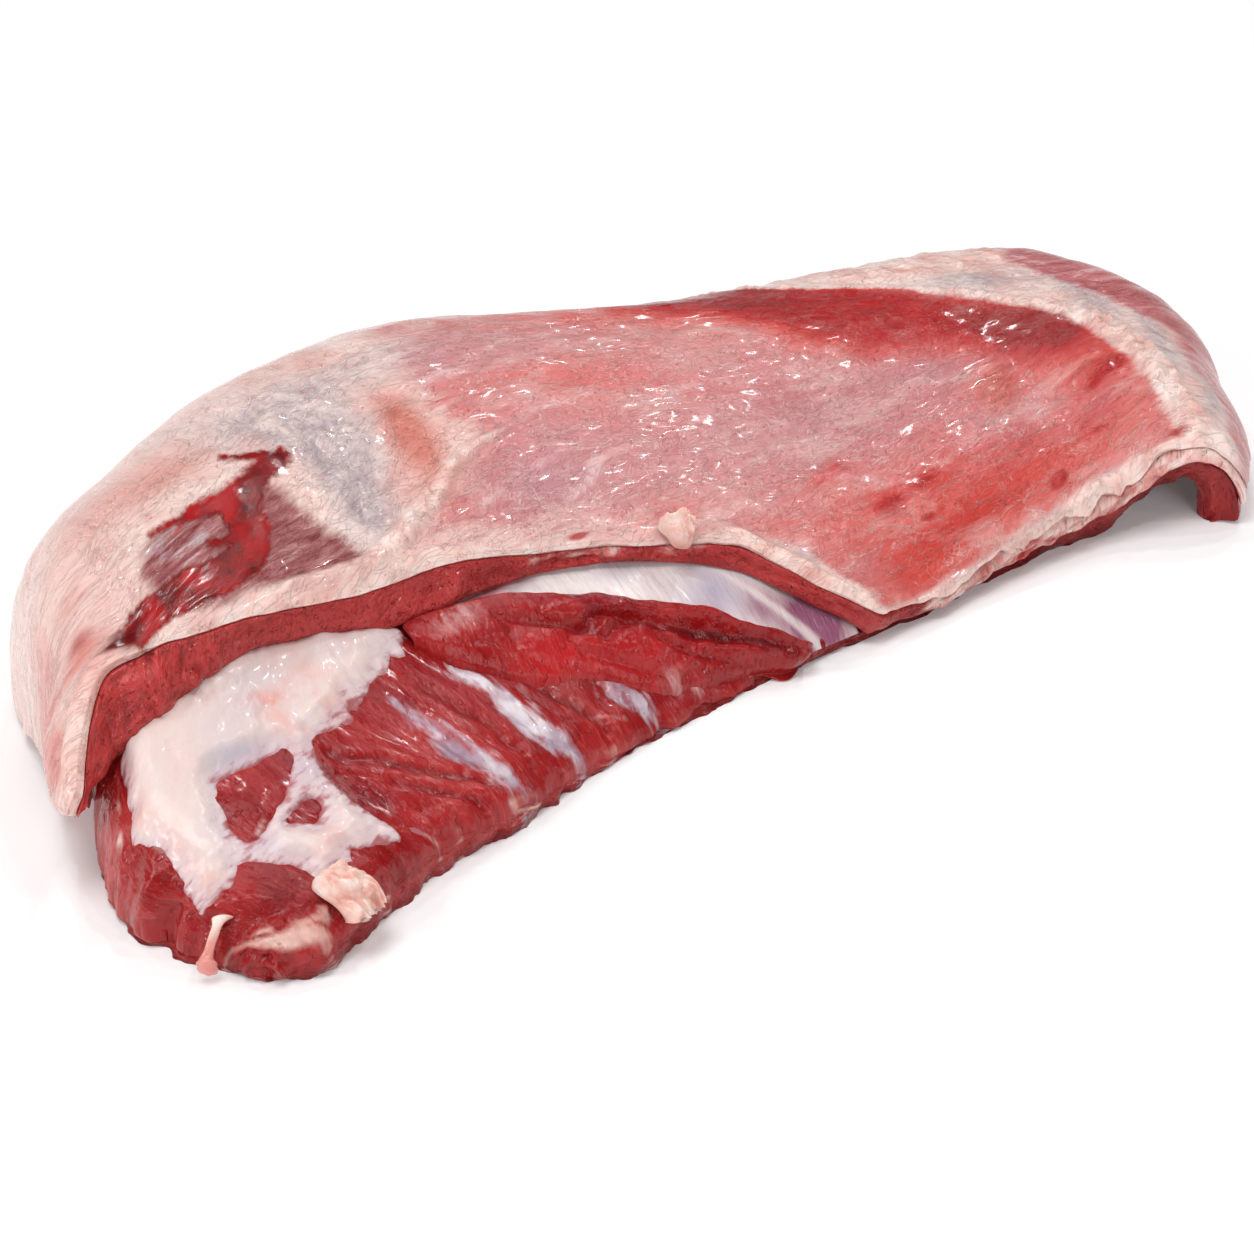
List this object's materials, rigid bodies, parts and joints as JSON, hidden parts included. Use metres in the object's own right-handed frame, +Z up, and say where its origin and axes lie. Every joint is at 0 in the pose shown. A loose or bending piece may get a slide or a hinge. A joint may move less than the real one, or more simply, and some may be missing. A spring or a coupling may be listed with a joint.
{
  "type": "raw lamb ribs",
  "caption": "Raw slab of bone-in lamb ribs: meat and rib bones below, a fat and membrane covered belly flap folded over one side.",
  "frame": {"origin": "centre of the base, on the surface that the slab lies on", "axes": "+X along the slab from its thick breast end to its thin flank end, +Z up; the cut front edge with the ribs faces -Y"},
  "size_m": [0.4321, 0.2255, 0.0664],
  "materials": {
    "rib_meat": "wet raw red meat with fibres",
    "rib_bone": "pale membrane over bone, glossy",
    "brisket_fat": "hard white fat, satin",
    "inner_muscle": "wet dark red meat",
    "silverskin": "bluish white membrane, glossy",
    "flap_muscle": "wet raw red meat, cut across",
    "flap_fat": "pink and cream fat under a moist skin",
    "pink_sheet": "thin pink muscle under a moist membrane",
    "loose_fat": "soft white fat"
  },
  "bodies": {
    "root": {"rib_meat": "rib_meat", "rib_bone_1": "rib_bone", "rib_bone_2": "rib_bone", "rib_bone_3": "rib_bone", "brisket_fat": "brisket_fat", "inner_muscle": "inner_muscle", "silverskin": "silverskin", "flap_muscle": "flap_muscle", "flap_fat": "flap_fat", "pink_sheet": "pink_sheet", "fat_nub": "loose_fat", "fat_cluster": "loose_fat", "fat_scrap": "loose_fat"}
  },
  "joints": []
}
